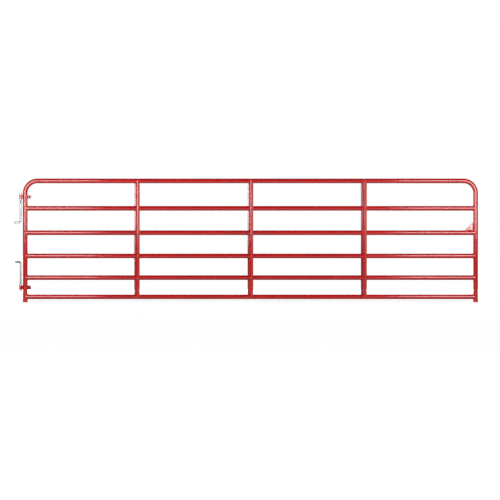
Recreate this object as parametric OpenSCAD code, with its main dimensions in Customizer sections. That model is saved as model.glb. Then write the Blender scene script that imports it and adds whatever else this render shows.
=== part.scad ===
// Field gate: a bent tube frame with straight rails, three Z section braces, two strap hinges
// with their J-bolts, and a latch plate for a chain.
// Millimetres, +Z up, front towards -Y, +X along the gate to its latch end.
// The origin is on the swing axis, in the middle of the lower hinge eye.

/* [Frame] */
// Length of the gate over the outsides of its uprights
gate_length = 4877; // [3000:1:6100]
// Outside diameter of the frame and rail tubes
tube_od = 50.8; // [42:0.1:56]
// Wall of the frame and rail tubes
tube_wall = 1.6; // [1:0.1:3]
// Radius of the two top corners, to the middle of the tube
corner_radius = 130; // [90:1:180]
// Length of the uprights below the bottom rail
foot_length = 33; // [15:1:80]
// Root gap left for the weld where two pieces meet
weld_gap = 0.3; // [0.2:0.1:0.6]

/* [Gaps between rails] */
// Clear gap between the top rail and the second rail
top_gap = 243; // [210:1:320]
// Clear gap between the second rail and the third rail
second_gap = 211; // [150:1:300]
// Clear gap between the third rail and the fourth rail
third_gap = 198; // [140:1:300]
// Clear gap between the fourth rail and the fifth rail
fourth_gap = 181; // [130:1:280]
// Clear gap between the fifth rail and the bottom rail
fifth_gap = 155; // [125:1:260]

/* [Braces] */
// Sheet thickness of the braces
brace_sheet = 2; // [1.5:0.1:3]
// Width of the flange in front of the rails, over the web
front_flange = 42; // [25:1:60]
// Width of the flange behind the rails, over the web
rear_flange = 22; // [15:1:45]
// Inside radius of the brace's bend into the front flange
front_bend = 18; // [2:0.5:22]
// Inside radius of the brace's bend into the rear flange
rear_bend = 7; // [2:0.5:9]
// How far the rear flange leans back from square, as a part of its length
rear_lean = 0.28; // [0:0.01:0.5]
// Space between the rails and each flange
flange_space = 2; // [1:0.5:5]
// Length of the flanges past the middle of the top and bottom rails
flange_run = 8; // [2:1:20]
// How much further out than the quarter points the two outer braces stand
brace_spread = 9; // [0:1:60]

/* [Hinge straps] */
// Height of each strap
strap_height = 44; // [36:1:60]
// Thickness of the straps
strap_sheet = 4.5; // [3:0.5:7]
// Space between a strap and the upright inside it
strap_fit = 0.2; // [0.1:0.1:0.5]
// Length of the neck between the eye and the upright
neck_length = 5; // [3:1:20]
// Gap between the strap's two legs at the neck
neck_gap = 3; // [1:0.5:6]
// Length of the strap's ears past the upright
ear_length = 32; // [28:1:50]
// Gap between the two ears
ear_gap = 8; // [4:0.5:14]
// Size of the cut corners of the ears
ear_corner = 10; // [4:1:14]
// Distance from the end of the ears to the clamp bolt
bolt_setback = 15; // [12:1:18]
// Distance from the lower end of the frame's bend to the upper strap
upper_hinge_drop = 19; // [5:1:60]
// Distance from the bottom rail to the lower strap
lower_hinge_rise = 52; // [10:1:70]

/* [Clamp bolts] */
// Diameter of the clamp bolts
clamp_d = 15.9; // [10:0.1:18]
// Size across the flats of the clamp bolts' heads and nuts
clamp_flats = 23.8; // [20:0.1:27]
// Height of the clamp bolts' heads
clamp_head = 10; // [6:0.1:13]
// Height of the clamp nuts
clamp_nut_height = 13.9; // [8:0.1:16]
// Outside diameter of the clamp washers
washer_d = 29; // [26:0.1:32]
// Thickness of the clamp washers
washer_sheet = 2.4; // [1.5:0.1:4]
// Radial clearance of the clamp bolts in the ears and washers
clamp_clearance = 0.4; // [0.2:0.1:1]
// Thread that shows past the clamp nuts
clamp_show = 4; // [2:0.5:12]

/* [J-bolts] */
// Diameter of the J-bolts
rod_d = 19; // [12:0.1:22]
// Length of a J-bolt from its threaded end to the middle of its leg
shank_length = 318; // [220:1:420]
// Length of the leg from the middle of the shank to its tip
leg_length = 70; // [50:1:110]
// Radius of the bend between shank and leg, to the middle of the rod
rod_bend = 23; // [16:1:36]
// Chamfer on both ends of a J-bolt
rod_chamfer = 2; // [1:0.5:4]
// Thread that shows past the outer nut
thread_show = 5; // [3:0.5:20]
// Radial clearance of the J-bolts in the eyes
eye_clearance = 0.5; // [0.3:0.1:1.2]
// Size across the flats of the J-bolts' nuts
rod_flats = 28.6; // [26:0.1:36]
// Height of the J-bolts' nuts
rod_nut_height = 16.3; // [10:0.1:24]
// Gap between each of these nuts and the strap
nut_gap = 0.3; // [0.2:0.1:1]
// Radial clearance between every nut and its thread
thread_clearance = 0.15; // [0.1:0.05:0.3]
// Turn of the lower J-bolt's leg towards the front, in degrees
lower_leg_turn = 45; // [0:1:90]

/* [Latch plate] */
// Length of the plate along the third rail and up the latch upright
plate_side = 96; // [84:1:130]
// Thickness of the plate
plate_sheet = 5; // [3:0.5:8]
// Length cut off each corner of the plate
plate_corner = 6; // [3:1:10]
// Diameter of the round part of the keyhole
keyhole_d = 18; // [14:0.5:22]
// Width of the keyhole's slot
keyhole_slot = 7; // [5:0.5:11]
// Distance from the latch upright to the middle of the keyhole
keyhole_inset = 20; // [16:1:26]
// Height of the round part of the keyhole above the third rail
keyhole_rise = 47; // [40:1:52]
// Height of the slot's lower end above the third rail
slot_rise = 16; // [10:1:22]
// Diameter of the chain's fixing hole
chain_hole_d = 10; // [6:0.5:13]
// Distance from the latch upright to the chain's fixing hole
chain_hole_inset = 50; // [42:1:58]
// Height of the chain's fixing hole above the third rail
chain_hole_rise = 14; // [10:1:20]

/* [Hidden] */
$fn = 96;

// How far a cut runs past the face that it opens
cut = 1;
coat = [0.70, 0.13, 0.14];
zinc = [0.78, 0.80, 0.80];
dark_steel = [0.25, 0.22, 0.22];

tube_r = tube_od / 2;
tube_bore_r = tube_r - tube_wall;
rod_r = rod_d / 2;
clamp_r = clamp_d / 2;

// Strap in plan: the eye on the left, the saddle round the upright, the ears on the right
eye_bore_r = rod_r + eye_clearance;
eye_r = eye_bore_r + strap_sheet;
saddle_bore_r = tube_r + strap_fit;
saddle_r = saddle_bore_r + strap_sheet;
neck_half = neck_gap / 2 + strap_sheet;
ear_half = ear_gap / 2 + strap_sheet;
ear_end = saddle_r + ear_length;
bolt_place = ear_end - bolt_setback;

// Places along the gate, from the swing axis
hinge_upright_x = eye_r + neck_length + saddle_r;
upright_span = gate_length - tube_od;
latch_upright_x = hinge_upright_x + upright_span;
brace_step = upright_span / 4 + brace_spread;
middle_x = hinge_upright_x + upright_span / 2;

// Heights of the tubes' middles above the feet
bottom_h = foot_length + tube_r;
fifth_h = bottom_h + tube_od + fifth_gap;
fourth_h = fifth_h + tube_od + fourth_gap;
third_h = fourth_h + tube_od + third_gap;
second_h = third_h + tube_od + second_gap;
top_h = second_h + tube_od + top_gap;

// Heights from the origin
lower_hinge_h = bottom_h + tube_r + lower_hinge_rise + strap_height / 2;
upper_hinge_h = top_h - corner_radius - upper_hinge_drop - strap_height / 2;
feet_z = -lower_hinge_h;
top_z = feet_z + top_h;
second_z = feet_z + second_h;
third_z = feet_z + third_h;
fourth_z = feet_z + fourth_h;
fifth_z = feet_z + fifth_h;
bottom_z = feet_z + bottom_h;
upper_hinge_z = feet_z + upper_hinge_h;

// Braces: the web stands so that the middle of the section is on its station
brace_width = front_flange + rear_flange - brace_sheet;
web_x = rear_flange - brace_sheet - brace_width / 2;
flange_y = tube_r + flange_space;
rear_splay = asin(rear_lean);
rear_run = (rear_flange - brace_sheet - rear_bend * (1 - rear_lean)) / cos(rear_splay);

// J-bolts: distances from the middle of the eye along the shank
nut_seat = strap_height / 2 + nut_gap;
thread_end = nut_seat + rod_nut_height + thread_show;
leg_place = shank_length - thread_end;

// A nut's corners are turned off at both ends, to this share of its flats and at this angle
turned_share = 0.95;
turned_angle = 30;

// Round bar along X from one place to another
module bar_along_x(r, from, to) {
    translate([from, 0, 0]) rotate([0, 90, 0]) cylinder(r = r, h = to - from);
}

// Quarter of a round bend in the XZ plane, from straight out along +X to straight up
module quarter_bend(r, bend) {
    rotate([90, 0, 0]) rotate_extrude(angle = 90) translate([bend, 0]) circle(r = r);
}

// Hexagon blank standing on z = 0, its corners turned off at both ends
module hexagon(flats, height) {
    corner_r = flats / 2 / cos(30);
    turned_r = turned_share * flats / 2;
    drop = (corner_r - turned_r) * tan(turned_angle);
    intersection() {
        cylinder(r = corner_r, h = height, $fn = 6);
        rotate_extrude() polygon([
            [0, 0], [turned_r, 0], [corner_r, drop],
            [corner_r, height - drop], [turned_r, height], [0, height]
        ]);
    }
}

module hexagon_nut(flats, height, bore_r) {
    difference() {
        hexagon(flats, height);
        translate([0, 0, -cut]) cylinder(r = bore_r, h = height + 2 * cut);
    }
}

// Solid bar of one radius along the path of the bent frame, from below one foot to below the other
module frame_bar(r, below) {
    upright_top = top_z - corner_radius;
    foot_z = feet_z - below;
    for (x = [hinge_upright_x, latch_upright_x])
        translate([x, 0, foot_z]) cylinder(r = r, h = upright_top - foot_z);
    translate([hinge_upright_x + corner_radius, 0, upright_top])
        mirror([1, 0, 0]) quarter_bend(r, corner_radius);
    translate([latch_upright_x - corner_radius, 0, upright_top])
        quarter_bend(r, corner_radius);
    translate([0, 0, top_z])
        bar_along_x(r, hinge_upright_x + corner_radius, latch_upright_x - corner_radius);
}

module outer_frame() {
    color(coat) difference() {
        frame_bar(tube_r, 0);
        frame_bar(tube_bore_r, cut);
    }
}

// Straight rail, coped at both ends to fit round the uprights
module rail(z) {
    color(coat) difference() {
        translate([0, 0, z]) bar_along_x(tube_r, hinge_upright_x, latch_upright_x);
        translate([0, 0, z]) bar_along_x(tube_bore_r, hinge_upright_x - cut, latch_upright_x + cut);
        for (x = [hinge_upright_x, latch_upright_x])
            translate([x, 0, z - tube_od])
                cylinder(r = tube_r + weld_gap, h = 2 * tube_od);
    }
}

// A brace's bend about its own middle, from the web on +X round by an angle, and the flat after it
module bend_and_flat(bend, angle, run) {
    outside = bend + brace_sheet;
    intersection() {
        difference() {
            circle(r = outside);
            circle(r = bend);
        }
        square(2 * outside);
        rotate(angle - 90) square(2 * outside);
    }
    rotate(angle - 90) translate([-run, bend]) square([run, brace_sheet]);
}

// Section of a brace: the web on x = 0, one flange to the right in front, one to the left behind
module brace_section() {
    front_y = flange_y - front_bend;
    rear_y = flange_y - rear_bend;
    front_run = front_flange - front_bend - brace_sheet;
    translate([0, -front_y]) square([brace_sheet, front_y + rear_y]);
    translate([front_bend + brace_sheet, -front_y]) rotate(180) bend_and_flat(front_bend, 90, front_run);
    translate([-rear_bend, rear_y]) bend_and_flat(rear_bend, 90 - rear_splay, rear_run);
}

// Brace: the rails go through round holes in its web, and its flanges lap the top and bottom rails
module brace(x) {
    hole_r = tube_r + weld_gap;
    notch_half = tube_r + (weld_gap + flange_space) / 2;
    color(coat) difference() {
        translate([x + web_x, 0, bottom_z - flange_run])
            linear_extrude(height = top_z - bottom_z + 2 * flange_run) brace_section();
        for (z = [top_z, second_z, third_z, fourth_z, fifth_z, bottom_z])
            translate([0, 0, z]) bar_along_x(hole_r, x - brace_width, x + brace_width);
        translate([x - brace_width, -notch_half, top_z])
            cube([2 * brace_width, 2 * notch_half, flange_run + cut]);
        translate([x - brace_width, -notch_half, bottom_z - flange_run - cut])
            cube([2 * brace_width, 2 * notch_half, flange_run + cut]);
    }
}

// Outline of the latch plate, from its inner corner towards -X and up
module plate_outline() {
    polygon([
        [0, plate_corner], [-plate_corner, 0],
        [-plate_side + plate_corner, 0], [-plate_side + plate_corner, plate_corner / 2],
        [-plate_corner / 2, plate_side - plate_corner], [0, plate_side - plate_corner]
    ]);
}

module latch_plate() {
    color(coat)
    translate([latch_upright_x - tube_r - weld_gap, plate_sheet / 2, third_z + tube_r + weld_gap])
        rotate([90, 0, 0]) difference() {
            linear_extrude(height = plate_sheet) plate_outline();
            translate([-keyhole_inset, keyhole_rise, -cut])
                cylinder(d = keyhole_d, h = plate_sheet + 2 * cut);
            translate([-keyhole_inset, slot_rise, -cut])
                cylinder(d = keyhole_slot, h = plate_sheet + 2 * cut);
            translate([-keyhole_inset - keyhole_slot / 2, slot_rise, -cut])
                cube([keyhole_slot, keyhole_rise - slot_rise, plate_sheet + 2 * cut]);
            translate([-chain_hole_inset, chain_hole_rise, -cut])
                cylinder(d = chain_hole_d, h = plate_sheet + 2 * cut);
        }
}

// Outline of a hinge strap in plan, about the middle of the upright
module strap_outline() {
    difference() {
        union() {
            translate([-hinge_upright_x, 0]) circle(r = eye_r);
            circle(r = saddle_r);
            translate([-hinge_upright_x, -neck_half]) square([hinge_upright_x, 2 * neck_half]);
            translate([0, -ear_half]) square([ear_end, 2 * ear_half]);
        }
        translate([-hinge_upright_x, 0]) circle(r = eye_bore_r);
        circle(r = saddle_bore_r);
        translate([-hinge_upright_x, -neck_gap / 2]) square([hinge_upright_x, neck_gap]);
        translate([0, -ear_gap / 2]) square([ear_end + cut, ear_gap]);
    }
}

module hinge_strap(z) {
    color(coat) translate([hinge_upright_x, 0, z]) difference() {
        translate([0, 0, -strap_height / 2])
            linear_extrude(height = strap_height) strap_outline();
        translate([bolt_place, 0, 0]) rotate([90, 0, 0])
            cylinder(r = clamp_r + clamp_clearance, h = 2 * (ear_half + cut), center = true);
        for (side = [-1, 1])
            translate([ear_end, 0, side * strap_height / 2]) rotate([0, 45, 0])
                cube([ear_corner * sqrt(2), 2 * (ear_half + cut), ear_corner * sqrt(2)], center = true);
    }
}

// Moves a piece that stands on z = 0 to the clamp bolt's axis, at a distance behind the gate's middle
module on_clamp_axis(z, y) {
    translate([hinge_upright_x + bolt_place, y, z]) rotate([-90, 0, 0]) children();
}

module clamp_bolt(z) {
    grip = 2 * ear_half + washer_sheet + clamp_nut_height + clamp_show;
    color(dark_steel) on_clamp_axis(z, -ear_half - clamp_head) {
        hexagon(clamp_flats, clamp_head);
        cylinder(r = clamp_r, h = clamp_head + grip);
    }
}

module clamp_washer(z) {
    color(dark_steel) on_clamp_axis(z, ear_half) difference() {
        cylinder(d = washer_d, h = washer_sheet);
        translate([0, 0, -cut])
            cylinder(r = clamp_r + clamp_clearance, h = washer_sheet + 2 * cut);
    }
}

module clamp_nut(z) {
    color(dark_steel) on_clamp_axis(z, ear_half + washer_sheet)
        hexagon_nut(clamp_flats, clamp_nut_height, clamp_r + thread_clearance);
}

// Round bar standing on z = 0, its far end chamfered
module chamfered_bar(length) {
    rotate_extrude() polygon([
        [0, 0], [rod_r, 0], [rod_r, length - rod_chamfer], [rod_r - rod_chamfer, length], [0, length]
    ]);
}

// J-bolt with its threaded end up and its leg down below, pointing along -X
// A thin core inside the rod crosses both ends of the bend, so that the three lengths are one bar
module j_bolt() {
    core_r = rod_r / 2;
    bend_top = -leg_place + rod_bend;
    color(zinc) {
        translate([0, 0, bend_top]) chamfered_bar(thread_end - bend_top);
        translate([-rod_bend, 0, bend_top]) mirror([0, 0, 1]) quarter_bend(rod_r, rod_bend);
        translate([-rod_bend, 0, -leg_place]) rotate([0, -90, 0]) chamfered_bar(leg_length - rod_bend);
        translate([0, 0, bend_top - core_r]) cylinder(r = core_r, h = 2 * core_r);
        translate([0, 0, -leg_place]) bar_along_x(core_r, -rod_bend - core_r, -rod_bend + core_r);
    }
}

module j_bolt_nut(z, up) {
    color(zinc) translate([0, 0, up ? z + nut_seat : z - nut_seat - rod_nut_height])
        hexagon_nut(rod_flats, rod_nut_height, rod_r + thread_clearance);
}

module upper_j_bolt() {
    translate([0, 0, upper_hinge_z]) j_bolt();
}

module lower_j_bolt() {
    rotate(lower_leg_turn) mirror([0, 0, 1]) j_bolt();
}

outer_frame();
rail(second_z);  // second_rail
rail(third_z);  // third_rail
rail(fourth_z);  // fourth_rail
rail(fifth_z);  // fifth_rail
rail(bottom_z);  // bottom_rail
brace(middle_x - brace_step);  // hinge_side_brace
brace(middle_x);  // middle_brace
brace(middle_x + brace_step);  // latch_side_brace
latch_plate();
hinge_strap(upper_hinge_z);  // upper_hinge_strap
clamp_bolt(upper_hinge_z);  // upper_clamp_bolt
clamp_washer(upper_hinge_z);  // upper_clamp_washer
clamp_nut(upper_hinge_z);  // upper_clamp_nut
hinge_strap(0);  // lower_hinge_strap
clamp_bolt(0);  // lower_clamp_bolt
clamp_washer(0);  // lower_clamp_washer
clamp_nut(0);  // lower_clamp_nut
upper_j_bolt();
j_bolt_nut(upper_hinge_z, true);  // upper_j_bolt_top_nut
j_bolt_nut(upper_hinge_z, false);  // upper_j_bolt_bottom_nut
lower_j_bolt();
j_bolt_nut(0, true);  // lower_j_bolt_top_nut
j_bolt_nut(0, false);  // lower_j_bolt_bottom_nut
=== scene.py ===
import math

import bmesh
import bpy
from bpy.props import FloatProperty, FloatVectorProperty, IntProperty, PointerProperty
from mathutils import Matrix, Vector


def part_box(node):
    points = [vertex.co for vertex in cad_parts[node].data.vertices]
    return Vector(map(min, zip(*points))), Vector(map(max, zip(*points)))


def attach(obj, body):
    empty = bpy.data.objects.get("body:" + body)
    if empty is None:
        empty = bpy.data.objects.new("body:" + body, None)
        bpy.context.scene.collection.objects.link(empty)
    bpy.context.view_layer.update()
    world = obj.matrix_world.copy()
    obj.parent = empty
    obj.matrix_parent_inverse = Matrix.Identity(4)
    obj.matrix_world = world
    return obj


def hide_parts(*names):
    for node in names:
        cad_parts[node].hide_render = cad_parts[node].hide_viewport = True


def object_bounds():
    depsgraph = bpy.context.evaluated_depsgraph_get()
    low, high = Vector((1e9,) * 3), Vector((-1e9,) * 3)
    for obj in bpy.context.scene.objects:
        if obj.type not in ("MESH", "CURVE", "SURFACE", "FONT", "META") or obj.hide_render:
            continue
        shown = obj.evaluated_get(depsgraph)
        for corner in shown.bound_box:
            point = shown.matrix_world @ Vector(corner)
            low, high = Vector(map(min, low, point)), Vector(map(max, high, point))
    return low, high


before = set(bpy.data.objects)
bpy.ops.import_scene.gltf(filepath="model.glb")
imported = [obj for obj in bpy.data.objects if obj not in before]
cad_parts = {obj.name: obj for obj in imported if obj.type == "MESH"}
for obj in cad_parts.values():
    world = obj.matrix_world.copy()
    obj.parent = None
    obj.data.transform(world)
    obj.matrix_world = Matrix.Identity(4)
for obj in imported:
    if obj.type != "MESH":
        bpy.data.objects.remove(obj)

bl_info = {
    "name": "Field gate",
    "version": (1, 0, 0),
    "blender": (4, 5, 0),
    "location": "3D View > Sidebar > Gate",
    "description": "Dresses the packed field gate with finer meshes, welds, threads and finishes",
    "category": "Object",
}

CAD_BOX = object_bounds()

RAILS = ("second_rail", "third_rail", "fourth_rail", "fifth_rail", "bottom_rail")
BRACES = ("hinge_side_brace", "middle_brace", "latch_side_brace")
STRAPS = ("upper_hinge_strap", "lower_hinge_strap")
ENDS = ("upper", "lower")
# Rings for each turn of a thread, its depth as a share of its pitch, and how steep its flanks are
THREAD_STEPS = 8
THREAD_DEPTH = 0.55
THREAD_FLANK = 1.25
# Points for each ripple of a weld bead, and the fewest steps along an arc
BEAD_STEPS = 5
LEAST_ARC_STEPS = 8
# Points closer than this are one point, faces turned less than this are one face,
# and edges turned further than this are sharp
MERGE = 1e-6
FLAT_ANGLE = math.radians(0.5)
SHARP_ANGLE = math.radians(35)
# Dark cards round the gate: name, middle measured from the ground under the gate, facing, width and height
DARK_CARDS = (
    ("overhead_card", (0, -2.5, 4.0), (0, 0, -1), 12.0, 11.0),
    ("back_card", (0, 14.0, 5.3), (0, 0.109, -1), 16.0, 22.4),
    ("left_card", (-6.0, -12.0, 5.0), (1, 0, 0), 32.0, 10.0),
    ("right_card", (6.0, -12.0, 5.0), (-1, 0, 0), 32.0, 10.0),
    ("front_card", (0, -28.0, 9.0), (0, 1, 0), 30.0, 18.0),
)
FLOOR_SIDE = 400.0
MATT_ROUGHNESS = 0.9


class GateSizes(bpy.types.PropertyGroup):
    """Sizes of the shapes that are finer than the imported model"""

    tube_wall: FloatProperty(
        name="Tube wall", description="Wall of the frame and rail tubes",
        default=0.0016, unit="LENGTH")
    corner_radius: FloatProperty(
        name="Corner radius", description="Radius of the two top corners, to the middle of the tube",
        default=0.130, unit="LENGTH")
    weld_gap: FloatProperty(
        name="Weld gap", description="Root gap between a rail and its upright",
        default=0.0003, unit="LENGTH")
    tube_sides: IntProperty(
        name="Tube sides", description="Flats round each tube", default=64)
    bend_steps: IntProperty(
        name="Bend steps", description="Steps round each top corner", default=32)
    bead_radius: FloatProperty(
        name="Bead radius", description="Half width of a weld bead",
        default=0.0030, unit="LENGTH")
    ripple_pitch: FloatProperty(
        name="Ripple pitch", description="Distance between two ripples of a weld bead",
        default=0.0032, unit="LENGTH")
    ripple_depth: FloatProperty(
        name="Ripple depth", description="Share of a bead's radius lost between two ripples",
        default=0.16, subtype="FACTOR")
    sheet_edge: FloatProperty(
        name="Sheet edge", description="Rounding of the braces' cut edges",
        default=0.0004, unit="LENGTH")
    strap_edge: FloatProperty(
        name="Strap edge", description="Rounding of the straps' and the latch plate's edges",
        default=0.0008, unit="LENGTH")
    nut_edge: FloatProperty(
        name="Nut edge", description="Rounding of the corners of nuts and bolt heads",
        default=0.0004, unit="LENGTH")
    rod_bend: FloatProperty(
        name="Rod bend", description="Radius of a J-bolt's bend, to the middle of the rod",
        default=0.023, unit="LENGTH")
    rod_thread: FloatProperty(
        name="Rod thread", description="Length of the thread on a J-bolt",
        default=0.110, unit="LENGTH")
    rod_pitch: FloatProperty(
        name="Rod pitch", description="Pitch of a J-bolt's thread",
        default=0.0025, unit="LENGTH")
    rod_chamfer: FloatProperty(
        name="Rod chamfer", description="Chamfer on both ends of a J-bolt",
        default=0.002, unit="LENGTH")
    rod_sides: IntProperty(
        name="Rod sides", description="Flats round each rod and bolt", default=40)
    lower_leg_turn: FloatProperty(
        name="Lower leg turn", description="Turn of the lower J-bolt's leg towards the front",
        default=math.radians(45), subtype="ANGLE")
    clamp_pitch: FloatProperty(
        name="Clamp pitch", description="Pitch of a clamp bolt's thread",
        default=0.0023, unit="LENGTH")
    clamp_head: FloatProperty(
        name="Clamp head", description="Height of a clamp bolt's head",
        default=0.010, unit="LENGTH")
    clamp_chamfer: FloatProperty(
        name="Clamp chamfer", description="Chamfer on the end of a clamp bolt",
        default=0.001, unit="LENGTH")
    rear_flange: FloatProperty(
        name="Rear flange", description="Width of a brace's flange behind the rails, over the web",
        default=0.022, unit="LENGTH")
    brace_sheet: FloatProperty(
        name="Brace sheet", description="Sheet thickness of the braces",
        default=0.002, unit="LENGTH")
    front_bend: FloatProperty(
        name="Front bend", description="Outside radius of a brace's bend into the front flange",
        default=0.020, unit="LENGTH")
    bead_lift: FloatProperty(
        name="Bead lift", description="Height of a bead's middle above the tube",
        default=0.0008, unit="LENGTH")
    bead_margin: FloatProperty(
        name="Bead margin", description="Bare length at each end of the latch plate's beads",
        default=0.010, unit="LENGTH")
    lap_angle: FloatProperty(
        name="Lap angle", description="Half of the arc welded where a flange's edge crosses a rail",
        default=math.radians(18), subtype="ANGLE")
    lap_radius: FloatProperty(
        name="Lap radius", description="Half width of the weld between a flange's edge and a rail",
        default=0.0065, unit="LENGTH")


class GateColours(bpy.types.PropertyGroup):
    """Colours of the finishes"""

    coat: FloatVectorProperty(
        name="Coat", description="Red powder coat", subtype="COLOR", default=(0.43, 0.004, 0.005))
    coat_deep: FloatVectorProperty(
        name="Deep coat", description="Darker clouds of the coat", subtype="COLOR",
        default=(0.387, 0.0036, 0.0045))
    coat_dust: FloatVectorProperty(
        name="Dust", description="Dust on the coat", subtype="COLOR", default=(0.40, 0.09, 0.075))
    zinc: FloatVectorProperty(
        name="Zinc", description="Bright zinc plate", subtype="COLOR", default=(0.45, 0.45, 0.44))
    zinc_dull: FloatVectorProperty(
        name="Dull zinc", description="Dulled patches of the zinc", subtype="COLOR",
        default=(0.33, 0.33, 0.325))
    dark_steel: FloatVectorProperty(
        name="Dark steel", description="Blackened steel", subtype="COLOR",
        default=(0.020, 0.016, 0.017))
    worn_steel: FloatVectorProperty(
        name="Worn steel", description="Rubbed patches of the steel", subtype="COLOR",
        default=(0.060, 0.052, 0.052))


class StageSettings(bpy.types.PropertyGroup):
    """Camera, lights and floor"""

    camera_distance: FloatProperty(
        name="Camera distance", description="Distance from the gate", default=25.0, unit="LENGTH")
    view_width: FloatProperty(
        name="View width", description="Width seen at the gate", default=5.3585, unit="LENGTH")
    view_x: FloatProperty(
        name="View middle", description="Place along the gate in the picture's middle",
        default=2.4582, unit="LENGTH")
    view_z: FloatProperty(
        name="View height", description="Height in the picture's middle",
        default=0.4025, unit="LENGTH")
    box_power: FloatProperty(
        name="Soft box power", description="Power of each of the two soft boxes, in watts",
        default=400.0)
    box_width: FloatProperty(
        name="Soft box width", description="Width of each soft box", default=4.4, unit="LENGTH")
    box_height: FloatProperty(
        name="Soft box height", description="Height of each soft box", default=2.6, unit="LENGTH")
    box_reach: FloatProperty(
        name="Soft box reach", description="Distance of a soft box's middle from the gate's middle",
        default=4.2, unit="LENGTH")
    box_rise: FloatProperty(
        name="Soft box rise", description="Height of a soft box's lower edge above the feet",
        default=0.79, unit="LENGTH")
    box_distance: FloatProperty(
        name="Soft box distance", description="Distance of the soft boxes in front of the gate",
        default=5.5, unit="LENGTH")
    strip_power: FloatProperty(
        name="Strip power", description="Power of the strip light behind the camera, in watts",
        default=68.0)
    strip_width: FloatProperty(
        name="Strip width", description="Width of the strip light", default=7.0, unit="LENGTH")
    strip_height: FloatProperty(
        name="Strip height", description="Height of the strip light", default=1.2, unit="LENGTH")
    strip_rise: FloatProperty(
        name="Strip rise", description="Height of the strip light's middle above the feet",
        default=1.35, unit="LENGTH")
    strip_setback: FloatProperty(
        name="Strip setback", description="Distance of the strip light behind the camera",
        default=1.0, unit="LENGTH")
    fill_power: FloatProperty(
        name="Fill power", description="Power of the low light behind the gate, in watts",
        default=450.0)
    fill_width: FloatProperty(
        name="Fill width", description="Width of the fill light", default=10.0, unit="LENGTH")
    fill_height: FloatProperty(
        name="Fill height", description="Height of the fill light", default=1.6, unit="LENGTH")
    fill_rise: FloatProperty(
        name="Fill rise", description="Height of the fill light's middle above the feet",
        default=0.9, unit="LENGTH")
    fill_distance: FloatProperty(
        name="Fill distance", description="Distance of the fill light behind the gate",
        default=8.0, unit="LENGTH")
    world_level: FloatProperty(
        name="World level", description="Level of the light from all round", default=0.05)
    card_colour: FloatVectorProperty(
        name="Cards", description="Colour of the dark cards above and beside the gate",
        subtype="COLOR", default=(0.03, 0.03, 0.03))
    net_cover: FloatProperty(
        name="Net cover", description="Share of the floor that the dark net hides in reflections",
        default=0.4, subtype="FACTOR")
    net_width: FloatProperty(
        name="Net width", description="Width of the net along the gate", default=16.0, unit="LENGTH")
    net_depth: FloatProperty(
        name="Net depth", description="Depth of the net, front to back", default=18.0, unit="LENGTH")
    net_place: FloatProperty(
        name="Net place", description="Distance of the net's middle behind the gate",
        default=-3.0, unit="LENGTH")
    net_rise: FloatProperty(
        name="Net rise", description="Height of the net above the floor", default=0.005, unit="LENGTH")
    floor_colour: FloatVectorProperty(
        name="Floor", description="Colour of the floor", subtype="COLOR", default=(0.78, 0.78, 0.78))
    floor_lift: FloatProperty(
        name="Floor lift", description="White added to the floor where it is seen, not lit", default=0.955)
    shadow_lift: FloatProperty(
        name="Shadow lift", description="Share of that white left beside the gate, where its shadow falls",
        default=0.72, subtype="FACTOR")
    shadow_reach: FloatProperty(
        name="Shadow reach", description="Distance from the gate at which the floor begins to turn white",
        default=0.6, unit="LENGTH")
    shadow_fade: FloatProperty(
        name="Shadow fade", description="Distance over which the floor turns white",
        default=2.0, unit="LENGTH")


class Link:
    """A node's output with arithmetic, for building a shader"""

    def __init__(self, tree, socket):
        self.tree = tree
        self.socket = socket

    def node(self, kind, inputs, output=0, **settings):
        """Any node: its settings by name, its inputs by name or number"""
        made = self.tree.nodes.new(kind)
        for name, value in settings.items():
            setattr(made, name, value)
        for name, value in inputs.items():
            if isinstance(value, Link):
                self.tree.links.new(value.socket, made.inputs[name])
            else:
                made.inputs[name].default_value = value
        return Link(self.tree, made.outputs[output])

    def maths(self, operation, first, second):
        return self.node("ShaderNodeMath", {0: first, 1: second}, operation=operation)

    def __add__(self, other):
        return self.maths("ADD", self, other)

    def __radd__(self, other):
        return self.maths("ADD", other, self)

    def __sub__(self, other):
        return self.maths("SUBTRACT", self, other)

    def __rsub__(self, other):
        return self.maths("SUBTRACT", other, self)

    def __mul__(self, other):
        return self.maths("MULTIPLY", self, other)

    def __rmul__(self, other):
        return self.maths("MULTIPLY", other, self)

    def __truediv__(self, other):
        return self.maths("DIVIDE", self, other)

    def __rtruediv__(self, other):
        return self.maths("DIVIDE", other, self)

    def noise(self, scale, detail):
        return self.node(
            "ShaderNodeTexNoise", {"Vector": self, "Scale": scale, "Detail": detail}, output="Fac")

    def between(self, low, high):
        """0 below low, 1 above high, smooth in the middle"""
        return self.node(
            "ShaderNodeMapRange", {"Value": self, "From Min": low, "From Max": high},
            interpolation_type="SMOOTHSTEP")

    def bump(self, strength, distance):
        return self.node(
            "ShaderNodeBump", {"Height": self, "Strength": strength, "Distance": distance},
            output="Normal")


def opaque(colour):
    return (*colour, 1.0)


def colour_mix(factor, first, second):
    """Mixes two colours, links or plain ones; inputs 6 and 7 and output 2 are the node's colours"""
    first, second = (part if isinstance(part, Link) else opaque(part) for part in (first, second))
    return factor.node("ShaderNodeMix", {0: factor, 6: first, 7: second}, output=2, data_type="RGBA")


def new_material(name):
    """A material and its shader node"""
    material = bpy.data.materials.new(name)
    material.use_nodes = True
    return material, material.node_tree.nodes["Principled BSDF"]


def object_place(material):
    """The object coordinates that a finish's patterns start from"""
    tree = material.node_tree
    return Link(tree, tree.nodes.new("ShaderNodeTexCoord").outputs["Object"])


def feed(shader, name, link):
    link.tree.links.new(link.socket, shader.inputs[name])


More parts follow.
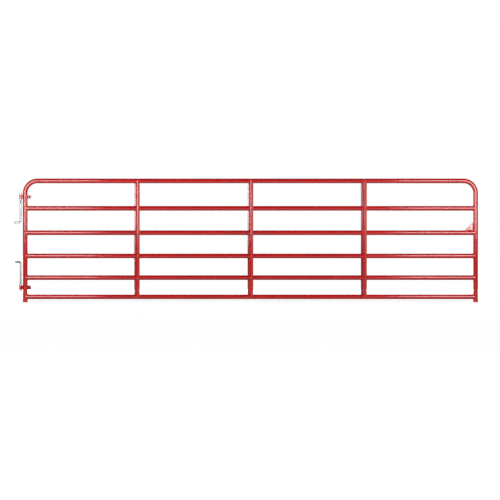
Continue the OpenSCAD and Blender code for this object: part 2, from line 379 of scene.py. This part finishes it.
def red_coat():
    """Powder coat: an even red, a fine orange peel and a trace of dust where it faces up"""
    colours = bpy.context.scene.gate_colours
    material, shader = new_material("Red powder coat")
    place = object_place(material)
    normal = place.node("ShaderNodeNewGeometry", {}, output="Normal")
    upward = place.node("ShaderNodeSeparateXYZ", {0: normal}, output="Z").between(low=0.35, high=1.0)
    cloud = place.noise(scale=2.2, detail=3.0).between(low=0.35, high=0.65)
    speck = place.noise(scale=260.0, detail=4.0).between(low=0.42, high=0.75)
    dust = upward * speck * 0.35
    red = colour_mix(cloud, colours.coat_deep, colours.coat)
    feed(shader, "Base Color", colour_mix(dust, red, colours.coat_dust))
    feed(shader, "Roughness", 0.09 + 0.05 * place.noise(scale=35.0, detail=2.0) + 0.25 * dust)
    feed(shader, "Normal", place.noise(scale=420.0, detail=1.0).bump(strength=0.05, distance=0.0002))
    shader.inputs["IOR"].default_value = 1.6
    return material


def zinc_plate():
    """Bright zinc: a pale metal with dulled clouds and a fine grain"""
    colours = bpy.context.scene.gate_colours
    material, shader = new_material("Zinc plate")
    place = object_place(material)
    cloud = place.noise(scale=38.0, detail=4.0).between(low=0.35, high=0.7)
    feed(shader, "Base Color", colour_mix(cloud, colours.zinc, colours.zinc_dull))
    feed(shader, "Roughness", 0.30 + 0.22 * place.noise(scale=60.0, detail=3.0))
    feed(shader, "Normal", place.noise(scale=900.0, detail=2.0).bump(strength=0.12, distance=0.0003))
    shader.inputs["Metallic"].default_value = 1.0
    return material


def dark_steel():
    """Blackened steel: nearly black, a little lighter where it has been rubbed"""
    colours = bpy.context.scene.gate_colours
    material, shader = new_material("Dark steel")
    place = object_place(material)
    rubbed = place.noise(scale=90.0, detail=3.0).between(low=0.45, high=0.75)
    feed(shader, "Base Color", colour_mix(rubbed, colours.dark_steel, colours.worn_steel))
    feed(shader, "Roughness", 0.42 + 0.2 * place.noise(scale=120.0, detail=2.0))
    feed(shader, "Normal", place.noise(scale=700.0, detail=2.0).bump(strength=0.15, distance=0.0003))
    return material


FINISHES = {"red_coat": red_coat, "zinc_plate": zinc_plate, "dark_steel": dark_steel}
MADE_FINISHES = {}


def finish_of(slot):
    """The material of a slot, made once"""
    if slot not in MADE_FINISHES:
        MADE_FINISHES[slot] = FINISHES[slot]()
    return MADE_FINISHES[slot]


def settled(made):
    """Applies a piece's modifiers"""
    graph = bpy.context.evaluated_depsgraph_get()
    made.data = bpy.data.meshes.new_from_object(made.evaluated_get(graph))
    made.modifiers.clear()


def piece_from(bm, name, slot, body, *nodes, edge=None):
    """Turns a bmesh into a finished piece that stands for these CAD nodes and rides on a body"""
    bmesh.ops.remove_doubles(bm, verts=bm.verts, dist=MERGE)
    bmesh.ops.recalc_face_normals(bm, faces=bm.faces)
    mesh = bpy.data.meshes.new(name)
    bm.to_mesh(mesh)
    bm.free()
    mesh.shade_smooth()
    mesh.set_sharp_from_angle(angle=SHARP_ANGLE)
    mesh.materials.append(finish_of(slot))
    made = bpy.data.objects.new(name, mesh)
    bpy.context.scene.collection.objects.link(made)
    if edge:
        bevel = made.modifiers.new("Edge", "BEVEL")
        bevel.width = edge
        bevel.segments = 2
        bevel.limit_method = "ANGLE"
        bevel.angle_limit = SHARP_ANGLE
        level = made.modifiers.new("Flat faces", "WEIGHTED_NORMAL")
        level.weight = 100
        level.keep_sharp = True
        settled(made)
    if nodes:
        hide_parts(*nodes)
    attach(made, body)
    return made


def cad_copy(node):
    """A merged copy of a CAD node's mesh, its flat faces joined up again"""
    bm = bmesh.new()
    bm.from_mesh(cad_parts[node].data)
    bmesh.ops.remove_doubles(bm, verts=bm.verts, dist=MERGE)
    bmesh.ops.dissolve_limit(
        bm, angle_limit=FLAT_ANGLE, verts=bm.verts, edges=bm.edges, use_dissolve_boundaries=False)
    return bm


def middle(node):
    low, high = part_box(node)
    return (low + high) / 2


def tube_radius():
    low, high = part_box("second_rail")
    return (high.z - low.z) / 2


def upright_places():
    """Middles of the hinge upright and the latch upright along the gate"""
    low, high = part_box("outer_frame")
    return low.x + tube_radius(), high.x - tube_radius()


def edges_in(items):
    return [item for item in items if isinstance(item, bmesh.types.BMEdge)]


def ring_verts(edges):
    return list({vert for edge in edges for vert in edge.verts})


def pulled(bm, edges, step):
    """Draws a ring of edges out by a step, and gives the ring at its end"""
    ring = edges_in(bmesh.ops.extrude_edge_only(bm, edges=edges)["geom"])
    bmesh.ops.translate(bm, verts=ring_verts(ring), vec=step)
    return ring


def turned(bm, edges, middle_of_turn, axis, angle, steps):
    """Sweeps a ring of edges round an axis, and gives the ring at its end"""
    made = bmesh.ops.spin(
        bm, geom=edges, cent=middle_of_turn, axis=axis, angle=angle, steps=steps)
    return edges_in(made["geom_last"])


def ring_at(bm, place, axis, radius, sides):
    """A ring of edges round an axis"""
    turn = axis.to_track_quat("Z", "Y").to_matrix().to_4x4()
    made = bmesh.ops.create_circle(
        bm, segments=sides, radius=radius, matrix=Matrix.Translation(place) @ turn)
    return list({edge for vert in made["verts"] for edge in vert.link_edges})


def bent_tube(bm, radius):
    """One skin of the frame's tube, from one foot over both corners to the other; gives both end rings"""
    sizes = bpy.context.scene.gate_sizes
    low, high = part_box("outer_frame")
    hinge_x, latch_x = upright_places()
    bend = sizes.corner_radius
    bend_z = high.z - tube_radius() - bend
    rise = Vector((0, 0, bend_z - low.z))
    run = Vector((latch_x - hinge_x - 2 * bend, 0, 0))
    axis = Vector((0, 1, 0))
    first = ring_at(bm, Vector((hinge_x, 0, low.z)), Vector((0, 0, 1)), radius, sizes.tube_sides)
    ring = pulled(bm, first, rise)
    quarter = math.pi / 2
    ring = turned(bm, ring, Vector((hinge_x + bend, 0, bend_z)), axis, quarter, sizes.bend_steps)
    ring = pulled(bm, ring, run)
    ring = turned(bm, ring, Vector((latch_x - bend, 0, bend_z)), axis, quarter, sizes.bend_steps)
    return first, pulled(bm, ring, -rise)


class GATE_OT_frame_tube(bpy.types.Operator):
    """Makes the bent frame tube with its wall and open feet"""

    bl_idname = "gate.frame_tube"
    bl_label = "Frame tube"

    def execute(self, context):
        sizes = context.scene.gate_sizes
        bm = bmesh.new()
        outer = bent_tube(bm, tube_radius())
        inner = bent_tube(bm, tube_radius() - sizes.tube_wall)
        for outer_end, inner_end in zip(outer, inner):
            bmesh.ops.bridge_loops(bm, edges=outer_end + inner_end)
        piece_from(bm, "frame_tube", "red_coat", "gate", "outer_frame")
        return {"FINISHED"}


def coped_skin(bm, radius, reach, rail_z):
    """One skin of a rail, its ends fitted to the uprights; gives both end rings"""
    sides = bpy.context.scene.gate_sizes.tube_sides
    hinge_x, latch_x = upright_places()
    start = Vector((hinge_x, 0, rail_z))
    first = ring_at(bm, start, Vector((1, 0, 0)), radius, sides)
    last = pulled(bm, first, Vector((latch_x - hinge_x, 0, 0)))
    for ring, way in ((first, 1), (last, -1)):
        for vert in ring_verts(ring):
            vert.co.x += way * math.sqrt(reach ** 2 - vert.co.y ** 2)
    return first, last


class GATE_OT_rails(bpy.types.Operator):
    """Makes the five straight rails with their coped ends"""

    bl_idname = "gate.rails"
    bl_label = "Rails"

    def execute(self, context):
        sizes = context.scene.gate_sizes
        radius = tube_radius()
        reach = radius + sizes.weld_gap
        for node in RAILS:
            bm = bmesh.new()
            rail_z = middle(node).z
            outer = coped_skin(bm, radius, reach, rail_z)
            inner = coped_skin(bm, radius - sizes.tube_wall, reach, rail_z)
            for outer_end, inner_end in zip(outer, inner):
                bmesh.ops.bridge_loops(bm, edges=outer_end + inner_end)
            piece_from(bm, node + "_tube", "red_coat", "gate", node)
        return {"FINISHED"}


class GATE_OT_sheet_parts(bpy.types.Operator):
    """Rounds the edges of the braces, the straps and the latch plate"""

    bl_idname = "gate.sheet_parts"
    bl_label = "Braces, straps and latch plate"

    def execute(self, context):
        sizes = context.scene.gate_sizes
        for node in BRACES:
            piece_from(
                cad_copy(node), node + "_sheet", "red_coat", "gate", node, edge=sizes.sheet_edge)
        for node in (*STRAPS, "latch_plate"):
            piece_from(
                cad_copy(node), node + "_plate", "red_coat", "gate", node, edge=sizes.strap_edge)
        return {"FINISHED"}


class GATE_OT_nuts(bpy.types.Operator):
    """Rounds the edges of the nuts and washers"""

    bl_idname = "gate.nuts"
    bl_label = "Nuts and washers"

    def execute(self, context):
        edge = context.scene.gate_sizes.nut_edge
        for end in ENDS:
            for kind in ("washer", "nut"):
                node = f"{end}_clamp_{kind}"
                piece_from(cad_copy(node), node + "_steel", "dark_steel", "gate", node, edge=edge)
            for place in ("top", "bottom"):
                node = f"{end}_j_bolt_{place}_nut"
                piece_from(
                    cad_copy(node), node + "_zinc", "zinc_plate", f"{end}_j_bolt", node, edge=edge)
        return {"FINISHED"}


def shrunk(bm, edges, centre, share):
    """Scales a ring about its centre"""
    bmesh.ops.scale(
        bm, vec=Vector((share,) * 3), verts=ring_verts(edges), space=Matrix.Translation(-centre))


def thread_depth(turns, pitch):
    """Depth of a V thread at a number of turns along it"""
    crest = abs((turns % 1.0) - 0.5) * 2
    return min(crest * THREAD_FLANK, 1.0) * THREAD_DEPTH * pitch


def threaded_bar(bm, radius, length, pitch, chamfer, sides):
    """Threaded end of a bar from its tip at z = 0 down to -length, a rolled grid; gives the last ring"""
    steps = round((length - chamfer) / pitch * THREAD_STEPS)
    step = (length - chamfer) / steps
    made = bmesh.ops.create_grid(bm, x_segments=sides, y_segments=steps + 1, size=0.5)
    for vert in made["verts"]:
        turn = vert.co.x + 0.5
        row = round((vert.co.y + 0.5) * (steps + 1))
        vert.co.z = -chamfer - (row - 1) * step if row else 0.0
        fade = min(1.0, (row - 1) / THREAD_STEPS, (steps + 1 - row) / (2 * THREAD_STEPS))
        deep = fade * thread_depth(vert.co.z / pitch - turn, pitch) if row else chamfer
        vert.co.x = (radius - deep) * math.cos(2 * math.pi * turn)
        vert.co.y = (radius - deep) * math.sin(2 * math.pi * turn)
    bmesh.ops.remove_doubles(bm, verts=bm.verts, dist=MERGE)
    rims = [edge for edge in bm.edges if edge.is_boundary]
    bmesh.ops.edgeloop_fill(bm, edges=[edge for edge in rims if edge.verts[0].co.z == 0.0])
    return [edge for edge in rims if edge.verts[0].co.z < 0.0]


def join(bm, other, place):
    """Adds another bmesh to this one at a place"""
    bmesh.ops.transform(other, matrix=place, verts=other.verts)
    mesh = bpy.data.meshes.new("part")
    other.to_mesh(mesh)
    other.free()
    bm.from_mesh(mesh)
    bpy.data.meshes.remove(mesh)


class GATE_OT_clamp_bolts(bpy.types.Operator):
    """Gives the clamp bolts a thread behind their heads"""

    bl_idname = "gate.clamp_bolts"
    bl_label = "Clamp bolts"

    def execute(self, context):
        sizes = context.scene.gate_sizes
        for end in ENDS:
            node = f"{end}_clamp_bolt"
            low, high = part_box(node)
            head_back = low.y + sizes.clamp_head
            bm = cad_copy(node)
            shank = [vert for vert in bm.verts if vert.co.y > head_back + MERGE]
            radius = max(abs(vert.co.z - (low.z + high.z) / 2) for vert in shank)
            bmesh.ops.delete(bm, geom=shank, context="VERTS")
            bmesh.ops.holes_fill(bm, edges=[edge for edge in bm.edges if edge.is_boundary])
            thread = bmesh.new()
            length = high.y - head_back
            last = threaded_bar(
                thread, radius, length, sizes.clamp_pitch, sizes.clamp_chamfer, sizes.rod_sides)
            bmesh.ops.edgeloop_fill(thread, edges=last)
            centre = (low + high) / 2
            place = Matrix.Translation((centre.x, high.y, centre.z)) @ Matrix.Rotation(-math.pi / 2, 4, "X")
            join(bm, thread, place)
            piece_from(bm, node + "_steel", "dark_steel", "gate", node, edge=sizes.nut_edge)
        return {"FINISHED"}


class GATE_OT_j_bolts(bpy.types.Operator):
    """Makes the two J-bolts with their threads"""

    bl_idname = "gate.j_bolts"
    bl_label = "J-bolts"

    def execute(self, context):
        sizes = context.scene.gate_sizes
        low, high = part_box("upper_j_bolt")
        radius = high.x
        bend = sizes.rod_bend
        length = high.z - low.z - radius
        for end in ENDS:
            node = f"{end}_j_bolt"
            bm = bmesh.new()
            ring = threaded_bar(
                bm, radius, sizes.rod_thread, sizes.rod_pitch, sizes.rod_chamfer, sizes.rod_sides)
            ring = pulled(bm, ring, Vector((0, 0, bend - length + sizes.rod_thread)))
            ring = turned(
                bm, ring, Vector((-bend, 0, bend - length)), Vector((0, 1, 0)), math.pi / 2,
                sizes.bend_steps)
            ring = pulled(bm, ring, Vector((low.x + bend + sizes.rod_chamfer, 0, 0)))
            ring = pulled(bm, ring, Vector((-sizes.rod_chamfer, 0, 0)))
            shrunk(bm, ring, Vector((low.x, 0, -length)), 1 - sizes.rod_chamfer / radius)
            bmesh.ops.edgeloop_fill(bm, edges=ring)
            place = Matrix.Translation((0, 0, high.z))
            if end == "lower":
                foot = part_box(node)[0].z
                turn = Matrix.Rotation(sizes.lower_leg_turn, 4, "Z") @ Matrix.Rotation(math.pi, 4, "X")
                place = Matrix.Translation((0, 0, foot)) @ turn
            bmesh.ops.transform(bm, matrix=place, verts=bm.verts)
            piece_from(bm, node + "_zinc", "zinc_plate", node, node)
        return {"FINISHED"}


def bead_mesh(paths, radius):
    """Weld beads along paths of points, rippled all along, as one bmesh"""
    sizes = bpy.context.scene.gate_sizes
    data = bpy.data.curves.new("beads", "CURVE")
    data.dimensions = "3D"
    data.bevel_depth = radius
    data.bevel_resolution = 1
    data.use_fill_caps = True
    for points, closed in paths:
        spline = data.splines.new("POLY")
        spline.points.add(len(points) - 1)
        spline.use_cyclic_u = closed
        run = 0.0
        for count, point in enumerate(points):
            run += (point - points[count - 1]).length if count else 0.0
            wave = 0.5 - 0.5 * math.cos(2 * math.pi * run / sizes.ripple_pitch)
            spline.points[count].co = (*point, 1.0)
            spline.points[count].radius = 1.0 - sizes.ripple_depth * wave
    curve = bpy.data.objects.new("beads", data)
    bpy.context.scene.collection.objects.link(curve)
    mesh = bpy.data.meshes.new_from_object(
        curve.evaluated_get(bpy.context.evaluated_depsgraph_get()))
    bm = bmesh.new()
    bm.from_mesh(mesh)
    bpy.data.objects.remove(curve)
    bpy.data.curves.remove(data)
    bpy.data.meshes.remove(mesh)
    return bm


def arc_steps(start, end, radius):
    """Angles along an arc, close enough for a bead's ripples"""
    pitch = bpy.context.scene.gate_sizes.ripple_pitch
    count = max(LEAST_ARC_STEPS, round(abs(end - start) * radius / pitch * BEAD_STEPS))
    return [start + (end - start) * step / count for step in range(count + 1)]


def straight_run(start, end):
    """Points along a straight bead"""
    pitch = bpy.context.scene.gate_sizes.ripple_pitch
    count = round((end - start).length / pitch * BEAD_STEPS)
    return [start.lerp(end, step / count) for step in range(count + 1)]


class GATE_OT_rail_welds(bpy.types.Operator):
    """Makes the weld beads round the rails' ends"""

    bl_idname = "gate.rail_welds"
    bl_label = "Rail welds"

    def execute(self, context):
        sizes = context.scene.gate_sizes
        rail_r = tube_radius() + sizes.bead_lift
        upright_r = rail_r + sizes.weld_gap
        paths = []
        for node in RAILS:
            rail_z = middle(node).z
            for upright_x, way in zip(upright_places(), (1, -1)):
                points = []
                for angle in arc_steps(0, 2 * math.pi, rail_r)[:-1]:
                    across = rail_r * math.sin(angle)
                    out = math.sqrt(upright_r ** 2 - across ** 2)
                    points.append(Vector((
                        upright_x + way * out, across, rail_z + rail_r * math.cos(angle))))
                paths.append((points, True))
        piece_from(bead_mesh(paths, sizes.bead_radius), "rail_welds", "red_coat", "gate")
        return {"FINISHED"}


class GATE_OT_brace_welds(bpy.types.Operator):
    """Makes the weld beads between the braces and the rails"""

    bl_idname = "gate.brace_welds"
    bl_label = "Brace welds"

    def execute(self, context):
        sizes = context.scene.gate_sizes
        rail_r = tube_radius()
        ring_r = rail_r + sizes.bead_lift
        top_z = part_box("outer_frame")[1].z - rail_r
        for node in BRACES:
            low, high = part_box(node)
            web_left = low.x + sizes.rear_flange - sizes.brace_sheet
            bend_middle = Vector((web_left + sizes.front_bend, low.y + sizes.front_bend))
            paths = []
            laps = []
            for rail_z in (top_z, *(middle(rail).z for rail in RAILS)):
                start, end = 0.0, 2 * math.pi
                if rail_z == top_z:
                    start, end = math.pi / 2, 3 * math.pi / 2
                elif rail_z == middle("bottom_rail").z:
                    start, end = -math.pi / 2, math.pi / 2
                for bend_r in (sizes.front_bend, sizes.front_bend - sizes.brace_sheet):
                    points = []
                    for angle in arc_steps(start, end, ring_r):
                        y = ring_r * math.sin(angle)
                        past_web = max(0.0, bend_middle.y - y)
                        x = bend_middle.x - math.sqrt(bend_r ** 2 - past_web ** 2)
                        points.append(Vector((x, y, rail_z + ring_r * math.cos(angle))))
                    paths.append((points, False))
                points = [
                    Vector((high.x, -ring_r * math.cos(angle), rail_z + ring_r * math.sin(angle)))
                    for angle in arc_steps(-sizes.lap_angle, sizes.lap_angle, ring_r)]
                laps.append((points, False))
            piece_from(bead_mesh(paths, sizes.bead_radius), node + "_welds", "red_coat", "gate")
            piece_from(bead_mesh(laps, sizes.lap_radius), node + "_lap_welds", "red_coat", "gate")
        return {"FINISHED"}


class GATE_OT_plate_welds(bpy.types.Operator):
    """Makes the weld beads along the latch plate's two straight edges"""

    bl_idname = "gate.plate_welds"
    bl_label = "Latch plate welds"

    def execute(self, context):
        sizes = context.scene.gate_sizes
        low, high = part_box("latch_plate")
        margin = sizes.bead_margin
        paths = []
        for face_y in (low.y, high.y):
            paths.append((straight_run(
                Vector((low.x + margin, face_y, low.z)), Vector((high.x - margin, face_y, low.z))), False))
            paths.append((straight_run(
                Vector((high.x, face_y, low.z + margin)), Vector((high.x, face_y, high.z - margin))), False))
        piece_from(bead_mesh(paths, sizes.bead_radius), "latch_plate_welds", "red_coat", "gate")
        return {"FINISHED"}


def area_light(name, place, facing, width, height, power):
    """A rectangular light that faces one way, hidden from the camera"""
    data = bpy.data.lights.new(name, "AREA")
    data.shape = "RECTANGLE"
    data.size = width
    data.size_y = height
    data.energy = power
    light = bpy.data.objects.new(name, data)
    light.location = place
    light.rotation_euler = facing.to_track_quat("-Z", "Y").to_euler()
    light.visible_camera = False
    bpy.context.scene.collection.objects.link(light)
    return light


def seen_rays(tree):
    """1 for rays from the camera, and for those that mirrors and glass send on"""
    path = tree.nodes.new("ShaderNodeLightPath")
    seen, glossy, through = (
        Link(tree, path.outputs[f"Is {kind} Ray"]) for kind in ("Camera", "Glossy", "Transmission"))
    return seen + glossy + through


def card(name, place, facing, width, height, material, seen=False):
    """A flat card of the stage with its middle at a place, hidden from the camera or seen"""
    bm = bmesh.new()
    turn = facing.to_track_quat("Z", "Y").to_matrix().to_4x4()
    bmesh.ops.create_grid(
        bm, x_segments=1, y_segments=1, size=0.5,
        matrix=Matrix.Translation(place) @ turn @ Matrix.Diagonal((width, height, 1.0, 1.0)))
    mesh = bpy.data.meshes.new(name)
    bm.to_mesh(mesh)
    bm.free()
    mesh.materials.append(material)
    made = bpy.data.objects.new(name, mesh)
    made.visible_camera = seen
    bpy.context.scene.collection.objects.link(made)
    return made


def matt(name, colour):
    """A plain matt material for the stage, and its shader node"""
    material, shader = new_material(name)
    shader.inputs["Base Color"].default_value = opaque(colour)
    shader.inputs["Roughness"].default_value = MATT_ROUGHNESS
    return material, shader


def beyond(place, axis, low, high):
    """How far a place is past one of two bounds along an axis"""
    along = place.node("ShaderNodeSeparateXYZ", {0: place}, output=axis)
    return along.maths("MAXIMUM", low - along, along - high)


def white_floor(stage):
    """The floor's material: white where it is seen, less so beside the gate, where its shadow falls"""
    material, shader = matt("Floor", stage.floor_colour)
    low, high = CAD_BOX
    place = object_place(material)
    away = place.maths("MAXIMUM", beyond(place, "X", low.x, high.x), beyond(place, "Y", low.y, high.y))
    white = away.between(low=stage.shadow_reach, high=stage.shadow_reach + stage.shadow_fade)
    level = stage.shadow_lift + (1.0 - stage.shadow_lift) * white
    feed(shader, "Emission Color", level * seen_rays(material.node_tree))
    shader.inputs["Emission Strength"].default_value = stage.floor_lift
    return material


def floor_and_cards(stage, ground):
    """The floor, and dark cards and a net that the camera does not see"""
    up = Vector((0, 0, 1))
    card("floor", ground, up, FLOOR_SIDE, FLOOR_SIDE, white_floor(stage), seen=True)

    material, _ = matt("Dark card", stage.card_colour)
    for name, place, facing, width, height in DARK_CARDS:
        card(name, ground + Vector(place), Vector(facing), width, height, material)

    material, shader = matt("Dark net", stage.card_colour)
    shader.inputs["Alpha"].default_value = stage.net_cover
    place = ground + Vector((0, stage.net_place, stage.net_rise))
    net = card("floor_net", place, up, stage.net_width, stage.net_depth, material)
    # The lamps shine through it, so that the floor under it stays lit
    net.visible_shadow = False


def white_world(scene, level):
    """Even light from all round, and white where it is seen"""
    world = bpy.data.worlds.new("Studio")
    scene.world = world
    world.use_nodes = True
    tree = world.node_tree
    background = tree.nodes["Background"]
    background.inputs["Color"].default_value = (1.0, 1.0, 1.0, 1.0)
    strength = level + (1.0 - level) * seen_rays(tree)
    tree.links.new(strength.socket, background.inputs["Strength"])


def studio_lights(stage, ground):
    """Two soft boxes and a strip in front, and a low fill behind"""
    to_back = Vector((0, 1, 0))
    to_front = Vector((0, -1, 0))
    box_z = stage.box_rise + stage.box_height / 2
    for side, name in ((-1, "Left soft box"), (1, "Right soft box")):
        place = ground + Vector((side * stage.box_reach, -stage.box_distance, box_z))
        area_light(name, place, to_back, stage.box_width, stage.box_height, stage.box_power)
    place = ground + Vector((0, -stage.camera_distance - stage.strip_setback, stage.strip_rise))
    area_light("Strip", place, to_back, stage.strip_width, stage.strip_height, stage.strip_power)
    place = ground + Vector((0, stage.fill_distance, stage.fill_rise))
    fill = area_light("Fill", place, to_front, stage.fill_width, stage.fill_height, stage.fill_power)
    # Its mirror image would draw a pale line along the tubes' edges
    fill.visible_glossy = False


def front_camera(scene, stage):
    """A long lens, square to the gate's front"""
    data = bpy.data.cameras.new("Camera")
    data.lens = data.sensor_width * stage.camera_distance / stage.view_width
    data.clip_end = FLOOR_SIDE
    camera = bpy.data.objects.new("Camera", data)
    camera.location = (stage.view_x, -stage.camera_distance, stage.view_z)
    camera.rotation_euler = (math.pi / 2, 0, 0)
    scene.collection.objects.link(camera)
    scene.camera = camera


class GATE_OT_stage(bpy.types.Operator):
    """Makes the floor, the lights, the white surroundings and the camera"""

    bl_idname = "gate.stage"
    bl_label = "Stage"

    def execute(self, context):
        scene = context.scene
        stage = scene.gate_stage
        low, high = CAD_BOX
        ground = Vector(((low.x + high.x) / 2, 0, low.z))
        floor_and_cards(stage, ground)
        white_world(scene, stage.world_level)
        studio_lights(stage, ground)
        front_camera(scene, stage)
        scene.view_settings.view_transform = "Standard"
        return {"FINISHED"}


class GATE_PT_panel(bpy.types.Panel):
    """The gate's settings and steps"""

    bl_label = "Field gate"
    bl_idname = "GATE_PT_panel"
    bl_space_type = "VIEW_3D"
    bl_region_type = "UI"
    bl_category = "Gate"

    def draw(self, context):
        for group in (context.scene.gate_sizes, context.scene.gate_colours, context.scene.gate_stage):
            box = self.layout.box()
            for name in group.bl_rna.properties.keys():
                if name not in ("rna_type", "name"):
                    box.prop(group, name)
        for operator in OPERATORS:
            self.layout.operator(operator.bl_idname)


GROUPS = {"gate_sizes": GateSizes, "gate_colours": GateColours, "gate_stage": StageSettings}
OPERATORS = (
    GATE_OT_frame_tube, GATE_OT_rails, GATE_OT_sheet_parts, GATE_OT_nuts, GATE_OT_clamp_bolts,
    GATE_OT_j_bolts, GATE_OT_rail_welds, GATE_OT_brace_welds, GATE_OT_plate_welds, GATE_OT_stage)


def register():
    for made in (*GROUPS.values(), *OPERATORS, GATE_PT_panel):
        bpy.utils.register_class(made)
    for name, group in GROUPS.items():
        setattr(bpy.types.Scene, name, PointerProperty(type=group))


def unregister():
    for name in GROUPS:
        delattr(bpy.types.Scene, name)
    for made in (GATE_PT_panel, *reversed(OPERATORS), *reversed(GROUPS.values())):
        bpy.utils.unregister_class(made)


def main():
    register()
    bpy.ops.gate.frame_tube()
    bpy.ops.gate.rails()
    bpy.ops.gate.sheet_parts()
    bpy.ops.gate.nuts()
    bpy.ops.gate.clamp_bolts()
    bpy.ops.gate.j_bolts()
    bpy.ops.gate.rail_welds()
    bpy.ops.gate.brace_welds()
    bpy.ops.gate.plate_welds()
    bpy.ops.gate.stage()


if __name__ == "__main__":
    main()
